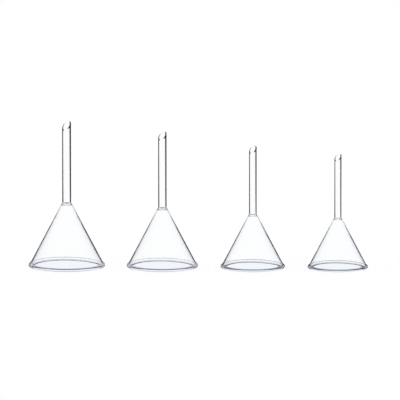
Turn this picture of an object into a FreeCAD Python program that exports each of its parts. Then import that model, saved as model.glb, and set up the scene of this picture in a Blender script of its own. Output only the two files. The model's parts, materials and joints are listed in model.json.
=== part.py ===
"""Four plain conical laboratory funnels of graded size, standing mouth down in a row.

Each funnel is two pieces of clear glass joined by one flame seal at the neck: a blown cone
with a rolled bead round its rim, and a drawn stem tube with a flared foot and a tip cut
slantwise. The four rims line up along the front. Millimetres, +Z up, origin on the bench at
the centre of the row.
"""

import FreeCAD, Part

import math
import os
from typing import NamedTuple

from FreeCAD import Placement, Rotation, Vector

# ---- Widest funnel ----
RIM_75 = 75.0  # across the bead
BEAD_75 = 3.3  # thickness of the bead
WALL_75 = 0.9  # of the cone
RING_75 = 10.0  # across the ring at the flame seal
STEM_75 = 8.7  # across the tube
STEM_WALL_75 = 1.15
STEM_LENGTH_75 = 77.6  # from the seal to the middle of the slant tip

# ---- Second funnel ----
RIM_70 = 70.0
BEAD_70 = 3.1
WALL_70 = 0.85
RING_70 = 9.5
STEM_70 = 8.2
STEM_WALL_70 = 1.1
STEM_LENGTH_70 = 72.3

# ---- Third funnel ----
RIM_63 = 63.0
BEAD_63 = 2.8
WALL_63 = 0.8
RING_63 = 8.6
STEM_63 = 7.4
STEM_WALL_63 = 1.0
STEM_LENGTH_63 = 65.2

# ---- Narrowest funnel ----
RIM_59 = 59.0
BEAD_59 = 2.6
WALL_59 = 0.75
RING_59 = 8.0
STEM_59 = 6.9
STEM_WALL_59 = 0.95
STEM_LENGTH_59 = 61.0

# ---- Shape that all four share ----
CONE_HALF_ANGLE = 27.6  # between the wall and the axis, degrees
BEAD_SET = 0.4  # how far outside the bead's middle the cone's face runs, in bead radii
BEAD_FILLET = 1.6  # hollows between the wall and the bead
LAND_INSET = 0.6  # reach of the flat under the rim, inwards from the bead's middle
RIM_CORNER = 0.9  # rounding between that flat and the rim's upright outer face
THROAT_ROUND = 2.0  # rounding of the bore's lower end
SEAL_ROUND = 0.5  # rounding of the ring that the flame seal leaves
SEAL_HOLLOW = 1.6  # hollow of the foot's flare, above the ring
BEVEL_ANGLE = 45.0  # slant of the tip, degrees
BEVEL_TURN = 55.0  # where the tip's high side points, from +X towards +Y, degrees
TIP_ROUND = 0.25  # fire-polished edges of the tip

# ---- How they stand: the gaps between neighbouring rims ----
GAP_75_70 = 21.3
GAP_70_63 = 22.1
GAP_63_59 = 22.3

HALF_TURN = 180.0  # degrees
TAPER = math.tan(math.radians(CONE_HALF_ANGLE))  # of the wall: radius per height


class Funnel(NamedTuple):
    """Sizes of one funnel, and the gap between its rim and the next one."""

    rim: float
    bead: float
    wall: float
    ring: float
    stem: float
    stem_wall: float
    stem_length: float
    gap: float


# from -X to +X
FUNNELS = {
    "75": Funnel(
        RIM_75, BEAD_75, WALL_75, RING_75, STEM_75, STEM_WALL_75, STEM_LENGTH_75, GAP_75_70
    ),
    "70": Funnel(
        RIM_70, BEAD_70, WALL_70, RING_70, STEM_70, STEM_WALL_70, STEM_LENGTH_70, GAP_70_63
    ),
    "63": Funnel(
        RIM_63, BEAD_63, WALL_63, RING_63, STEM_63, STEM_WALL_63, STEM_LENGTH_63, GAP_63_59
    ),
    "59": Funnel(
        RIM_59, BEAD_59, WALL_59, RING_59, STEM_59, STEM_WALL_59, STEM_LENGTH_59, 0.0
    ),
}


def radial(angle):
    """Unit vector in the profile's plane, from +X (outwards) towards +Z, degrees."""
    return Vector(math.cos(math.radians(angle)), 0, math.sin(math.radians(angle)))


def line(start, end):
    return Part.LineSegment(start, end).toShape()


def arc(centre, radius, first, last):
    """Arc of the profile about a centre, between two angles in degrees."""
    points = [centre + radial(a) * radius for a in (first, (first + last) / 2, last)]
    return Part.Arc(*points).toShape()


def revolved(edges):
    """Solid of one closed profile turned about the Z axis."""
    face = Part.Face(Part.Wire(edges))
    return face.revolve(Vector(0, 0, 0), Vector(0, 0, 1), 2 * HALF_TURN)


def bead_centre(funnel):
    """Centre of the bead's section: its circle meets the bench at the flat's inner edge."""
    radius = funnel.bead / 2
    height = math.sqrt(radius**2 - LAND_INSET**2)
    return Vector(funnel.rim / 2 - radius, 0, height)


def face_offset(funnel, depth):
    """Distance of a face of the cone from the bead's centre, a depth in from the outer face."""
    return BEAD_SET * funnel.bead / 2 - depth


def apex(funnel, depth):
    """Height where that face would meet the axis."""
    face = bead_centre(funnel) + radial(CONE_HALF_ANGLE) * face_offset(funnel, depth)
    return face.z + face.x / TAPER


def seal_height(funnel):
    """Height of the flame seal, where the cone's outer face has narrowed to the ring."""
    return apex(funnel, 0) - funnel.ring / 2 / TAPER


def bore(funnel):
    return funnel.stem / 2 - funnel.stem_wall


def throat(funnel):
    """Radius of the cone's inside at the seal."""
    return (apex(funnel, funnel.wall) - seal_height(funnel)) * TAPER


def hollow_centre(funnel, offset):
    """Centre of a fillet that touches the bead, at a distance from its centre line."""
    reach = funnel.bead / 2 + BEAD_FILLET
    along = radial(CONE_HALF_ANGLE + HALF_TURN / 2) * math.sqrt(reach**2 - offset**2)
    return bead_centre(funnel) + radial(CONE_HALF_ANGLE) * offset + along


def direction(start, end):
    """Angle of the way from one point to another, degrees."""
    return math.degrees(math.atan2(end.z - start.z, end.x - start.x))


def cone(funnel):
    """Conical wall with its rolled bead, standing on the bead with its narrow end up."""
    bead = funnel.bead / 2
    middle = bead_centre(funnel)
    facing_out, facing_in = CONE_HALF_ANGLE, CONE_HALF_ANGLE + HALF_TURN
    outer_hollow = hollow_centre(funnel, face_offset(funnel, 0) + BEAD_FILLET)
    inner_hollow = hollow_centre(funnel, face_offset(funnel, funnel.wall) - BEAD_FILLET)
    outer_meeting = direction(middle, outer_hollow)
    inner_meeting = direction(middle, inner_hollow)
    corner = Vector(funnel.rim / 2 - RIM_CORNER, 0, RIM_CORNER)
    land_inside = Vector(middle.x - LAND_INSET, 0, 0)
    outer_top = Vector(funnel.ring / 2, 0, seal_height(funnel))
    inner_top = Vector(throat(funnel), 0, seal_height(funnel))
    return revolved(
        [
            line(land_inside, Vector(corner.x, 0, 0)),
            arc(corner, RIM_CORNER, -HALF_TURN / 2, 0),
            line(Vector(funnel.rim / 2, 0, corner.z), Vector(funnel.rim / 2, 0, middle.z)),
            arc(middle, bead, 0, outer_meeting),
            arc(outer_hollow, BEAD_FILLET, outer_meeting + HALF_TURN, facing_in),
            line(outer_hollow + radial(facing_in) * BEAD_FILLET, outer_top),
            line(outer_top, inner_top),
            line(inner_top, inner_hollow + radial(facing_out) * BEAD_FILLET),
            arc(inner_hollow, BEAD_FILLET, facing_out, inner_meeting - HALF_TURN),
            arc(middle, bead, inner_meeting, direction(middle, land_inside) + 2 * HALF_TURN),
        ]
    )


def flare(funnel):
    """Angle of the foot's face where its rounded ring turns into the hollow, degrees."""
    ring = funnel.ring / 2 - SEAL_ROUND * math.cos(math.radians(CONE_HALF_ANGLE))
    reach = funnel.stem / 2 + SEAL_HOLLOW - ring
    return math.degrees(math.acos(reach / (SEAL_ROUND + SEAL_HOLLOW)))


def bore_foot(funnel):
    """Height where the straight bore starts, above the rounding out to the cone's inside."""
    slope = radial(CONE_HALF_ANGLE)
    across = (bore(funnel) + THROAT_ROUND) * slope.x - THROAT_ROUND
    return (apex(funnel, funnel.wall) * slope.z - across) / slope.z


def above_bevel(height, reach):
    """Block whose underside is the tip's slanting cut, at this height on the axis."""
    block = Part.makeBox(2 * reach, 2 * reach, 2 * reach, Vector(-reach, -reach, 0))
    slant = Rotation(Vector(0, 1, 0), -BEVEL_ANGLE)
    turn = Rotation(Vector(0, 0, 1), BEVEL_TURN)
    block.Placement = Placement(Vector(0, 0, height), turn * slant)
    return block


def stem(funnel):
    """Drawn tube with a flared foot, which the seal joins to the cone, and a slant tip."""
    outer = funnel.stem / 2
    inner = bore(funnel)
    base = seal_height(funnel)
    foot = Vector(funnel.ring / 2, 0, base)
    ring = foot - radial(CONE_HALF_ANGLE) * SEAL_ROUND
    turn = flare(funnel)
    flare_top = ring.z + (SEAL_ROUND + SEAL_HOLLOW) * math.sin(math.radians(turn))
    opening = Vector(inner + THROAT_ROUND, 0, bore_foot(funnel))
    facing_in = CONE_HALF_ANGLE + HALF_TURN
    tip = base + funnel.stem_length
    rise = outer * math.tan(math.radians(BEVEL_ANGLE))
    blank_end = tip + rise + outer
    tube = revolved(
        [
            line(Vector(throat(funnel), 0, base), foot),
            arc(ring, SEAL_ROUND, CONE_HALF_ANGLE, turn),
            arc(
                Vector(outer + SEAL_HOLLOW, 0, flare_top),
                SEAL_HOLLOW,
                turn + HALF_TURN,
                HALF_TURN,
            ),
            line(Vector(outer, 0, flare_top), Vector(outer, 0, blank_end)),
            line(Vector(outer, 0, blank_end), Vector(inner, 0, blank_end)),
            line(Vector(inner, 0, blank_end), Vector(inner, 0, opening.z)),
            arc(opening, THROAT_ROUND, HALF_TURN, facing_in),
            line(opening + radial(facing_in) * THROAT_ROUND, Vector(throat(funnel), 0, base)),
        ]
    )
    cut = tube.cut(above_bevel(tip, 4 * rise))
    tip_edges = [e for e in cut.Edges if e.BoundBox.ZMin > flare_top and e.isClosed()]
    return cut.makeFillet(TIP_ROUND, tip_edges)


def positions():
    """Axis of each funnel: the row is centred on X, and the rims are in line at the front."""
    whole = sum(funnel.rim + funnel.gap for funnel in FUNNELS.values())
    front = -max(funnel.rim for funnel in FUNNELS.values()) / 2
    edge = -whole / 2
    found = {}
    for name, funnel in FUNNELS.items():
        found[name] = Vector(edge + funnel.rim / 2, front + funnel.rim / 2, 0)
        edge += funnel.rim + funnel.gap
    return found


def build():
    os.makedirs("parts", exist_ok=True)
    for name, place in positions().items():
        for kind, make in (("cone", cone), ("stem", stem)):
            piece = make(FUNNELS[name])
            piece.translate(place)
            piece.exportStep(f"parts/{kind}_{name}.step")
            box = piece.optimalBoundingBox()
            print(
                f"{kind}_{name}: valid {piece.isValid()}, solids {len(piece.Solids)},"
                f" volume {piece.Volume:.1f}, z {box.ZMin:.2f} to {box.ZMax:.2f}"
            )


build()
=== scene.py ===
import json
import math

import bpy
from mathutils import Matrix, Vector


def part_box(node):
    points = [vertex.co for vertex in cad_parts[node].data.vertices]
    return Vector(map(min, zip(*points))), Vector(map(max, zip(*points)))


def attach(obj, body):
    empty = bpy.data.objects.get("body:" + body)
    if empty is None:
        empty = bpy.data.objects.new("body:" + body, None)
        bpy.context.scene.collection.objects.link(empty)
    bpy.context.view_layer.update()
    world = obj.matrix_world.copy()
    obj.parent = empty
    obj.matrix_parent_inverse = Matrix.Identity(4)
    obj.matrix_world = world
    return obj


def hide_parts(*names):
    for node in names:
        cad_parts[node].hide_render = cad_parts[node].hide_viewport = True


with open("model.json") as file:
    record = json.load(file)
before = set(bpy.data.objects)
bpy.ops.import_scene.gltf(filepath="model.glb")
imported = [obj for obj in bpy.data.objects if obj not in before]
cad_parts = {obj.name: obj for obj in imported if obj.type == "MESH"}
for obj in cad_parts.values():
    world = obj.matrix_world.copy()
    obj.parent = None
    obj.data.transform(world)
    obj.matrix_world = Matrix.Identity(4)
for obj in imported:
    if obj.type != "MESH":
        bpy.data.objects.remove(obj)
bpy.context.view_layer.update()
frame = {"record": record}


# ---- Camera ----
# A long lens a little above the bench, looking straight at the row, so that the stems stay
# upright and the mouths show as shallow ellipses.
MM = 0.001  # metres
VIEW_ELEVATION = math.radians(9.5)
VIEW_DISTANCE = 12.0
VIEW_WIDTH = 392 * MM  # what the frame takes in, at the row
AIM = Vector((1.8 * MM, 0, 65.8 * MM))

camera_data = bpy.data.cameras.new("camera")
camera_data.lens = camera_data.sensor_width * VIEW_DISTANCE / VIEW_WIDTH
camera_data.clip_end = 2 * VIEW_DISTANCE
camera = bpy.data.objects.new("camera", camera_data)
back = Vector((0, -math.cos(VIEW_ELEVATION), math.sin(VIEW_ELEVATION)))
camera.location = AIM + VIEW_DISTANCE * back
camera.rotation_euler = back.to_track_quat("Z", "Y").to_euler()
bpy.context.collection.objects.link(camera)
bpy.context.scene.camera = camera
bpy.context.scene.view_settings.view_transform = "Standard"


# ---- Bench and light ----
# A white bench in a white tent. What is seen straight through clear glass is the white
# ground; light that is turned back inside a wall comes from the tent's dark sides, which
# draws the outlines of the glass.
# Under each rim, the bench seen through glass carries painted shade and a painted contact shadow.
BENCH_WIDTH = 40.0
BENCH_COLOUR = (0.80, 0.80, 0.80)
BENCH_GLOW = 0.2
BENCH_TURNED = (0.030, 0.026, 0.060)  # the bench, mirrored inside a wall
TURNED_FAR = (0.80, 0.82, 0.88)  # what a wall mirrors, seen through another wall
TENT_TURNED = (  # the tent mirrored inside a wall: sine of the height over the horizon, colour
    (0.00, (0.025, 0.023, 0.055)),
    (0.06, (0.030, 0.028, 0.060)),
    (0.10, (0.46, 0.46, 0.52)),
    (0.22, (0.66, 0.66, 0.74)),
    (0.34, (0.62, 0.62, 0.72)),
    (0.44, (1.00, 1.00, 1.00)),
)
TENT_BENT = (  # the tent seen through more than one wall, in the same form
    (0.005, (1.0, 1.0, 1.0)),
    (0.020, (0.07, 0.08, 0.18)),
    (0.135, (0.08, 0.10, 0.22)),
    (0.180, (0.90, 0.94, 1.00)),
)
TENT_MIRRORED = (0.14, 0.14, 0.20)  # the tent, mirrored on the outside of the glass
WHITE = (1.0, 1.0, 1.0)
BENCH_STEEP_PAINTED_SHADE = (0.06, 0.07, 0.16)  # painted shade on the bench near a rim, where glass bends the view down on it
FACING_STEEP = (0.58, 0.42)  # how edge-on the bench is seen where that starts and is full
STEEP_REACH = (12 * MM, -12 * MM)  # where that ends and starts, in from the rim
MOUTH_PAINTED_SHADE = (0.905, 0.935, 0.980)  # painted shade: the bench under a funnel, seen through its glass, made a little darker and colder for the glass's shadow
CONTACT_PAINTED_SHADOW = (0.035, 0.04, 0.09)  # painted contact shadow: the dark line on the bench where the bead rests
CONTACT_SHADOW_REACH = (5.0 * MM, 0.5 * MM)  # where that painted shadow line ends and starts, in from the rim
ONCE = 0.5  # a depth above this: light met glass at least once
TWO_FACES = 2.5  # a depth above this: light passed a whole wall and entered another


def maths(tree, operation, first, second):
    """A maths node of two inputs, each a socket or a number."""
    node = tree.nodes.new("ShaderNodeMath")
    node.operation = operation
    for socket, value in zip(node.inputs, (first, second)):
        if isinstance(value, (int, float)):
            socket.default_value = value
        else:
            tree.links.new(value, socket)
    return node.outputs[0]


def colour_mix(tree, factor, first, second):
    """A blend of two colours, each a socket or a constant."""
    node = tree.nodes.new("ShaderNodeMix")
    node.data_type = "RGBA"
    for key, value in (("Factor", factor), ("A", first), ("B", second)):
        if isinstance(value, tuple):
            node.inputs[key].default_value = (*value, 1)
        else:
            tree.links.new(value, node.inputs[key])
    return node.outputs["Result"]


def by_height(tree, height, steps):
    """Colour ramp over the height of a direction."""
    ramp = tree.nodes.new("ShaderNodeValToRGB")
    elements = ramp.color_ramp.elements
    while len(elements) < len(steps):
        elements.new(0.5)
    for element, (position, colour) in zip(elements, steps):
        element.position = position
        element.color = (*colour, 1)
    tree.links.new(height, ramp.inputs[0])
    return ramp.outputs["Color"]


def shader_mix(tree, factor, first, second):
    node = tree.nodes.new("ShaderNodeMixShader")
    for socket, output in zip(node.inputs, (factor, first, second)):
        tree.links.new(output, socket)
    return node.outputs[0]


def emission(tree, colour):
    """A colour, as a socket or a constant, that shows whatever light falls on it."""
    node = tree.nodes.new("ShaderNodeEmission")
    if isinstance(colour, tuple):
        node.inputs["Color"].default_value = (*colour, 1)
    else:
        tree.links.new(colour, node.inputs["Color"])
    return node


def glass_paths(tree):
    """Masks of light that entered glass, was mirrored by it, or passed more than one wall."""
    path = tree.nodes.new("ShaderNodeLightPath")
    reflected = maths(tree, "GREATER_THAN", path.outputs["Glossy Depth"], ONCE)
    second_wall = maths(tree, "GREATER_THAN", path.outputs["Transmission Depth"], TWO_FACES)
    seen = maths(tree, "MAXIMUM", path.outputs["Is Glossy Ray"], path.outputs["Is Transmission Ray"])
    inside = maths(tree, "GREATER_THAN", path.outputs["Transmission Depth"], ONCE)
    return [maths(tree, "MULTIPLY", mask, seen) for mask in (inside, reflected, second_wall)]


def under_a_funnel(tree, inset):
    """Mask of the bench inside the four rims, less an inset."""
    place = tree.nodes.new("ShaderNodeNewGeometry").outputs["Position"]
    mask = 0.0
    for node in ("cone_75", "cone_70", "cone_63", "cone_59"):
        low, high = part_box(node)
        apart = tree.nodes.new("ShaderNodeVectorMath")
        apart.operation = "DISTANCE"
        tree.links.new(place, apart.inputs[0])
        apart.inputs[1].default_value = ((low.x + high.x) / 2, (low.y + high.y) / 2, 0)
        within = maths(tree, "LESS_THAN", apart.outputs["Value"], (high.x - low.x) / 2 - inset)
        mask = maths(tree, "MAXIMUM", mask, within)
    return mask


world = bpy.data.worlds.new("tent")
bpy.context.scene.world = world
world.use_nodes = True
tent = world.node_tree
tent.nodes.clear()
direction = tent.nodes.new("ShaderNodeTexCoord")
axes = tent.nodes.new("ShaderNodeSeparateXYZ")
tent.links.new(direction.outputs["Generated"], axes.inputs[0])
height = axes.outputs["Z"]
inside, reflected, second_wall = glass_paths(tent)
bent = colour_mix(tent, second_wall, WHITE, by_height(tent, height, TENT_BENT))
turned = colour_mix(tent, second_wall, by_height(tent, height, TENT_TURNED), TURNED_FAR)
turned = colour_mix(tent, inside, TENT_MIRRORED, turned)
seen = colour_mix(tent, reflected, bent, turned)
background = tent.nodes.new("ShaderNodeBackground")
tent.links.new(seen, background.inputs["Color"])
world_output = tent.nodes.new("ShaderNodeOutputWorld")
tent.links.new(background.outputs[0], world_output.inputs["Surface"])

bench_material = bpy.data.materials.new("white_bench")
bench_material.use_nodes = True
bench_nodes = bench_material.node_tree
bench_nodes.nodes.clear()
inside, reflected, second_wall = glass_paths(bench_nodes)

# seen straight: matt white, with a little light of its own
matt = bench_nodes.nodes.new("ShaderNodeBsdfDiffuse")
matt.inputs["Color"].default_value = (*BENCH_COLOUR, 1)
glow = emission(bench_nodes, WHITE)
glow.inputs["Strength"].default_value = BENCH_GLOW
lit = bench_nodes.nodes.new("ShaderNodeAddShader")
bench_nodes.links.new(matt.outputs[0], lit.inputs[0])
bench_nodes.links.new(glow.outputs[0], lit.inputs[1])

# seen through glass, inside a rim: painted cold shade, with a painted contact shadow where the bead
# rests
inner_part = under_a_funnel(bench_nodes, CONTACT_SHADOW_REACH[0])
line_part = under_a_funnel(bench_nodes, CONTACT_SHADOW_REACH[1])
mouth = emission(bench_nodes, colour_mix(bench_nodes, inner_part, CONTACT_PAINTED_SHADOW, MOUTH_PAINTED_SHADE))
painted_shade_in_mouth = maths(bench_nodes, "MULTIPLY", inside, line_part)
straight_down = shader_mix(bench_nodes, painted_shade_in_mouth, lit.outputs[0], mouth.outputs[0])

# seen through glass that bends the view steeply down: painted dark shade, near a rim
grazing = bench_nodes.nodes.new("ShaderNodeLayerWeight")
steep = bench_nodes.nodes.new("ShaderNodeMapRange")
steep.interpolation_type = "SMOOTHSTEP"
for key, value in zip(("From Min", "From Max", "To Min", "To Max"), (*FACING_STEEP, 0.0, 1.0)):
    steep.inputs[key].default_value = value
bench_nodes.links.new(grazing.outputs["Facing"], steep.inputs["Value"])
steep_part = maths(bench_nodes, "MULTIPLY", inside, steep.outputs[0])
near = under_a_funnel(bench_nodes, STEEP_REACH[1])
near = maths(bench_nodes, "SUBTRACT", near, under_a_funnel(bench_nodes, STEEP_REACH[0]))
shade = emission(bench_nodes, BENCH_STEEP_PAINTED_SHADE)
near_steep = maths(bench_nodes, "MULTIPLY", steep_part, near)
below = shader_mix(bench_nodes, near_steep, straight_down, shade.outputs[0])

# mirrored inside a wall: dark, but white under a funnel
turned = colour_mix(bench_nodes, second_wall, BENCH_TURNED, TURNED_FAR)
turned = colour_mix(bench_nodes, under_a_funnel(bench_nodes, 0.0), turned, WHITE)
mirrored = emission(bench_nodes, turned)
bench_seen = shader_mix(bench_nodes, reflected, below, mirrored.outputs[0])
bench_output = bench_nodes.nodes.new("ShaderNodeOutputMaterial")
bench_nodes.links.new(bench_seen, bench_output.inputs["Surface"])

bpy.ops.mesh.primitive_plane_add(size=BENCH_WIDTH, location=(0, 0, 0))
bench = bpy.context.object
bench.name = "bench"
bench.data.materials.append(bench_material)


# ---- Cone and rolled bead ----
# A cone of clear glass, blown a little thicker on one side, whose wall thins where it is drawn
# in to the neck. Its edge is rolled outwards in the flame to a round bead, which stiffens the
# rim and is what the funnel stands on.
HALF_ANGLE = math.radians(27.6)
BEAD_SET = 0.4  # how far outside the bead's middle the cone's face runs, in bead radii
BEAD_FILLET = 1.6 * MM
LAND_INSET = 0.6 * MM
RIM_CORNER = 0.9 * MM
UNEVEN = 0.16  # share of the wall that one side has less, and the other side more
THINNING = (  # height in shares of the seal's, share of the wall drawn away, unevenness
    (0.05, 0.0, 0.0),
    (0.25, 0.0, 1.0),
    (0.56, 0.03, 1.0),
    (0.74, 0.45, 0.6),
    (0.85, 0.84, 0.1),
    (0.983, 0.93, 0.0),
    (1.008, 0.0, 0.0),
)
SUPPORT = 0.15 * MM  # distance of the rows that keep a straight run straight
OUTER_ROWS, INNER_ROWS = 12, 48  # along the wall; the inner face carries the thinning
CORNER_STEPS = 5
FILLET_STEPS = 10
OUTER_BEAD_STEPS, INNER_BEAD_STEPS = 18, 22

mounts = {mount["name"]: mount for mount in frame["record"]["mounts"]}


def radial(angle):
    """Unit vector of the profile, from outwards towards up."""
    return Vector((math.cos(angle), 0, math.sin(angle)))


def arc(centre, radius, first, last, steps):
    """Points of an arc, both ends included."""
    angles = [first + (last - first) * n / steps for n in range(steps + 1)]
    return [centre + radius * radial(angle) for angle in angles]


def straight(start, end, rows=1):
    """Points between two ends, with a support row near each end."""
    way = (end - start).normalized() * SUPPORT
    inner = [start + way, end - way]
    between = [inner[0].lerp(inner[1], n / rows) for n in range(1, rows)]
    return [inner[0], *between, inner[1]]


class Sizes:
    """What the frame says of one funnel, in metres."""

    def __init__(self, name):
        low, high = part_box(f"cone_{name}")
        stem_low, stem_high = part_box(f"stem_{name}")
        outside, bore = mounts[f"stem_{name}_outside"], mounts[f"stem_{name}_bore"]
        land = mounts[f"rim_{name}_land"]
        self.axis = Vector(((low.x + high.x) / 2, (low.y + high.y) / 2, 0))
        self.rim = (high.x - low.x) / 2
        self.seal = high.z
        self.ring = (stem_high.x - stem_low.x) / 2
        self.top = stem_high.z
        self.stem = outside["dims"]["r_mm"] * MM
        self.bore = bore["dims"]["r_mm"] * MM
        self.bore_foot = bore["pos_m"][2] - bore["dims"]["length_mm"] * MM / 2
        self.bead = self.rim - (land["pos_m"][0] - self.axis.x)
        height = math.sqrt(self.bead**2 - LAND_INSET**2)
        self.bead_centre = Vector((self.rim - self.bead, 0, height))
        mouth = Vector((self.bore + THROAT_ROUND, 0, self.bore_foot))
        self.outer_offset = BEAD_SET * self.bead
        self.inner_offset = (mouth - self.bead_centre).dot(radial(HALF_ANGLE)) - THROAT_ROUND


def hollow_centre(size, offset):
    """Centre of a fillet that touches the bead, at a distance from its centre line."""
    along = math.sqrt((size.bead + BEAD_FILLET) ** 2 - offset**2)
    up_the_wall = radial(HALF_ANGLE + math.pi / 2)
    return size.bead_centre + offset * radial(HALF_ANGLE) + along * up_the_wall


def facing(start, end):
    """Angle of the way from one point of the profile to another."""
    return math.atan2(end.z - start.z, end.x - start.x)


def cone_outside(size):
    """Up from the bench round the bead and its hollow to the seal."""
    corner = Vector((size.rim - RIM_CORNER, 0, RIM_CORNER))
    hollow = hollow_centre(size, size.outer_offset + BEAD_FILLET)
    meeting = facing(size.bead_centre, hollow)
    edge = arc(corner, RIM_CORNER, -math.pi / 2, 0, CORNER_STEPS)
    bead = arc(size.bead_centre, size.bead, 0, meeting, OUTER_BEAD_STEPS)
    fillet = arc(hollow, BEAD_FILLET, meeting + math.pi, HALF_ANGLE + math.pi, FILLET_STEPS)
    crease = math.sqrt(RING_ROUND**2 - (RING_ROUND - RING_PROUD) ** 2)
    seal = Vector((size.ring, 0, size.seal)) - crease * radial(HALF_ANGLE + math.pi / 2)
    return [*edge, *bead, *fillet[1:], *straight(fillet[-1], seal, OUTER_ROWS)]


def drawn_thin(size, level, side):
    """How much the wall has thinned at a height, on the thin side (1) or the thick (-1)."""
    full = size.outer_offset - size.inner_offset
    for (low, first, one), (high, last, other) in zip(THINNING, THINNING[1:]):
        if low <= level < high:
            share = (level - low) / (high - low)
            less, more = first + side * UNEVEN * one, last + side * UNEVEN * other
            return full * (less + (more - less) * share * share * (3 - 2 * share))
    return 0.0


def cone_inside(size, mouth, side):
    """Down from the bore's mouth round the inner hollow and the bead to the bench."""
    hollow = hollow_centre(size, size.inner_offset - BEAD_FILLET)
    meeting = facing(size.bead_centre, hollow)
    land = Vector((size.bead_centre.x - LAND_INSET, 0, 0))
    landing = facing(size.bead_centre, land) + 2 * math.pi
    fillet = arc(hollow, BEAD_FILLET, HALF_ANGLE, meeting - math.pi, FILLET_STEPS)
    bead = arc(size.bead_centre, size.bead, meeting, landing, INNER_BEAD_STEPS)
    wall = []
    for point in straight(mouth, fillet[0], INNER_ROWS):
        wall.append(point + drawn_thin(size, point.z / size.seal, side) * radial(HALF_ANGLE))
    return [*wall, *fillet, *bead[1:]]


# ---- Neck ----
# Where the stem is fused to the cone, the flame leaves a rounded ring, and the stem flares
# out to it. Inside, the bore opens into the cone with a rounded mouth.
RING_ROUND = 0.5 * MM
RING_PROUD = 0.2 * MM  # how far the seal's bulge stands out of the cone's face
FLARE_HOLLOW = 1.6 * MM
THROAT_ROUND = 2.0 * MM
RING_STEPS = 12  # of the ring, and of the flare
THROAT_STEPS = 8


def neck_outside(size):
    """Up round the ring and the flare, to the straight tube."""
    ring = Vector((size.ring, 0, size.seal)) - (RING_ROUND - RING_PROUD) * radial(HALF_ANGLE)
    start = HALF_ANGLE - math.acos(1 - RING_PROUD / RING_ROUND)
    reach = size.stem + FLARE_HOLLOW - ring.x
    turn = math.acos(reach / (RING_ROUND + FLARE_HOLLOW))
    height = ring.z + (RING_ROUND + FLARE_HOLLOW) * math.sin(turn)
    hollow = Vector((size.stem + FLARE_HOLLOW, 0, height))
    rounded = arc(ring, RING_ROUND, start, turn, RING_STEPS)
    return [*rounded, *arc(hollow, FLARE_HOLLOW, turn + math.pi, math.pi, RING_STEPS)[1:]]


def neck_inside(size):
    """Down from the bore's end, round its mouth."""
    centre = Vector((size.bore + THROAT_ROUND, 0, size.bore_foot))
    return arc(centre, THROAT_ROUND, math.pi, math.pi + HALF_ANGLE, THROAT_STEPS)


# ---- Stem ----
# A length of drawn tube. The tip is cut slantwise, so that drops leave it at one point, and
# its edges are fire-polished.
BEVEL_TURN = math.radians(55.0)
BEVEL_SLOPE = 1.0  # rise per width
TIP_ROUND = 0.25 * MM
BORE_OFF = (0.014, 0.035)  # how far the bore is off centre, in tube radii: all along, at the tip
BORE_SETTLES = 10  # the first of these comes in over one part in this many of the tube
STEM_ROWS = 10
TIP_STEPS = 6


def tip_height(size):
    """Height of the slant cut on the axis, so that the rounded tip ends at the stem's top."""
    return size.top - BEVEL_SLOPE * size.stem + (2 - math.sqrt(2)) * TIP_ROUND


def tip_outline(size):
    """Over the polished end of the wall, from the outside to the bore, before the slant."""
    level = tip_height(size) - TIP_ROUND
    outer = Vector((size.stem - TIP_ROUND, 0, level))
    inner = Vector((size.bore + TIP_ROUND, 0, level))
    over = arc(outer, TIP_ROUND, 0, math.pi / 2, TIP_STEPS)
    return [*over, *arc(inner, TIP_ROUND, math.pi / 2, math.pi, TIP_STEPS)]


# ---- Glass ----
# Clear laboratory glass, polished by the flame, with a faint cold cast where it is thick.
GLASS_IOR = 1.47
GLASS_TINTS = ((0.990, 0.995, 1.0), (0.997, 0.999, 1.0))
GLASS_HAZE = 0.02  # roughness where the polish is least
BLOWN_SCALE = (55, 55, 40)  # patches of uneven wall, per metre
DRAWN_SCALE = (420, 420, 9)  # faint lines along the axis, left by drawing
BLOWN_DETAIL, DRAWN_DETAIL = 2.0, 1.0
DRAWN_SHARE = 0.25  # of the drawn lines, beside the patches
WAVE_DEPTH = 0.05 * MM
GLASS_SHEEN = (0.12, 0.12, 0.12)  # how much of the plain reflection is kept
PASS_TINT = (0.985, 0.988, 0.992)  # what light keeps at a face that doesn't bend it
FACES_BENT = 9  # faces at which a ray is bent; it goes straight on through any others


def pattern(tree, place, scale, detail):
    """Soft noise, stretched by its scale in each direction."""
    stretch = tree.nodes.new("ShaderNodeMapping")
    stretch.inputs["Scale"].default_value = scale
    tree.links.new(place, stretch.inputs["Vector"])
    noise = tree.nodes.new("ShaderNodeTexNoise")
    noise.inputs["Scale"].default_value = 1.0
    noise.inputs["Detail"].default_value = detail
    tree.links.new(stretch.outputs[0], noise.inputs["Vector"])
    return noise.outputs["Fac"]


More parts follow.
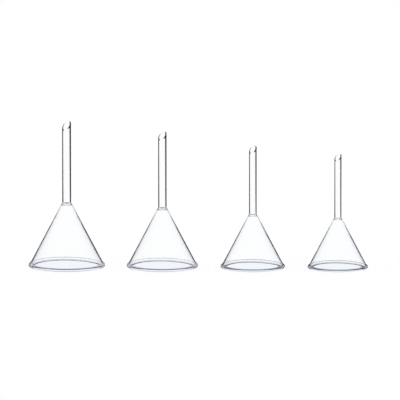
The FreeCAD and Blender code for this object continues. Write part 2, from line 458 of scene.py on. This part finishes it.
def clear_glass():
    """Glass that bends what is seen through it, and doesn't bend the light it lets fall."""
    material = bpy.data.materials.new("clear_glass")
    material.use_nodes = True
    tree = material.node_tree
    tree.nodes.clear()
    glass = tree.nodes.new("ShaderNodeBsdfPrincipled")
    place = tree.nodes.new("ShaderNodeTexCoord").outputs["Object"]
    blown = pattern(tree, place, BLOWN_SCALE, BLOWN_DETAIL)
    drawn = pattern(tree, place, DRAWN_SCALE, DRAWN_DETAIL)
    uneven = maths(tree, "ADD", blown, maths(tree, "MULTIPLY", drawn, DRAWN_SHARE))
    waves = tree.nodes.new("ShaderNodeBump")
    waves.inputs["Strength"].default_value = 1.0
    waves.inputs["Distance"].default_value = WAVE_DEPTH
    tree.links.new(uneven, waves.inputs["Height"])
    tree.links.new(waves.outputs[0], glass.inputs["Normal"])
    tree.links.new(colour_mix(tree, blown, *GLASS_TINTS), glass.inputs["Base Color"])
    tree.links.new(maths(tree, "MULTIPLY", blown, GLASS_HAZE), glass.inputs["Roughness"])
    glass.inputs["IOR"].default_value = GLASS_IOR
    glass.inputs["Transmission Weight"].default_value = 1.0
    glass.inputs["Specular Tint"].default_value = (*GLASS_SHEEN, 1)
    straight_on = tree.nodes.new("ShaderNodeBsdfTransparent")
    straight_on.inputs["Color"].default_value = (*PASS_TINT, 1)
    path = tree.nodes.new("ShaderNodeLightPath")
    falling = maths(tree, "MAXIMUM", path.outputs["Is Shadow Ray"], path.outputs["Is Diffuse Ray"])
    far_on = maths(tree, "GREATER_THAN", path.outputs["Transmission Depth"], FACES_BENT + ONCE)
    unbent = maths(tree, "MAXIMUM", falling, far_on)
    seen = shader_mix(tree, unbent, glass.outputs[0], straight_on.outputs[0])
    output = tree.nodes.new("ShaderNodeOutputMaterial")
    tree.links.new(seen, output.inputs["Surface"])
    return material


# ---- The four funnels ----
# Each is one piece of glass once its seal is made, so one closed skin stands for its cone
# and its stem.
TURNS = 192  # steps round the axis

glass = clear_glass()


class Skin:
    """Profile of one funnel's closed skin: up the outside, over the tip, down the inside."""

    def __init__(self, size):
        outside, neck_out = cone_outside(size), neck_outside(size)
        tip, neck_in = tip_outline(size), neck_inside(size)
        stem_out = straight(neck_out[-1], tip[0], STEM_ROWS)
        stem_in = straight(tip[-1], neck_in[0], STEM_ROWS)
        shared = [*outside, *neck_out, *stem_out, *tip, *stem_in, *neck_in]
        self.thin, self.thick = (
            [*shared, *cone_inside(size, neck_in[-1], side)] for side in (1, -1)
        )
        self.size = size
        self.foot, self.end = neck_out[-1].z, tip[0].z
        self.inside_from = len(outside) + len(neck_out) + len(stem_out) + len(tip) // 2

    def turned(self, angle):
        """The profile's points, turned about the axis, with the slant of the tip."""
        lift = BEVEL_SLOPE * math.cos(angle - BEVEL_TURN)
        towards_thick = (1 + math.cos(angle)) / 2
        points = []
        for row, (first, last) in enumerate(zip(self.thin, self.thick)):
            point = first.lerp(last, towards_thick)
            share = min(1, max(0, (point.z - self.foot) / (self.end - self.foot)))
            height = point.z + share * lift * point.x
            around = Vector((point.x * math.cos(angle), point.x * math.sin(angle), height))
            if row >= self.inside_from and share > 0:
                off = BORE_OFF[0] * min(1, share * BORE_SETTLES) + BORE_OFF[1] * share
                around.x -= self.size.stem * off
            points.append(self.size.axis + around)
        return points


def funnel(name):
    skin = Skin(Sizes(name))
    vertices = []
    for n in range(TURNS):
        vertices += skin.turned(2 * math.pi * n / TURNS)
    rows = len(skin.thin)
    faces = []
    for n in range(TURNS):
        here, there = n * rows, (n + 1) % TURNS * rows
        for k in range(rows):
            after = (k + 1) % rows
            faces.append((here + k, there + k, there + after, here + after))
    mesh = bpy.data.meshes.new(f"funnel_{name}")
    mesh.from_pydata(vertices, [], faces)
    mesh.shade_smooth()
    mesh.materials.append(glass)
    piece = bpy.data.objects.new(f"funnel_{name}", mesh)
    bpy.context.collection.objects.link(piece)
    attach(piece, "root")
    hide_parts(f"cone_{name}", f"stem_{name}")


for name in ("75", "70", "63", "59"):
    funnel(name)
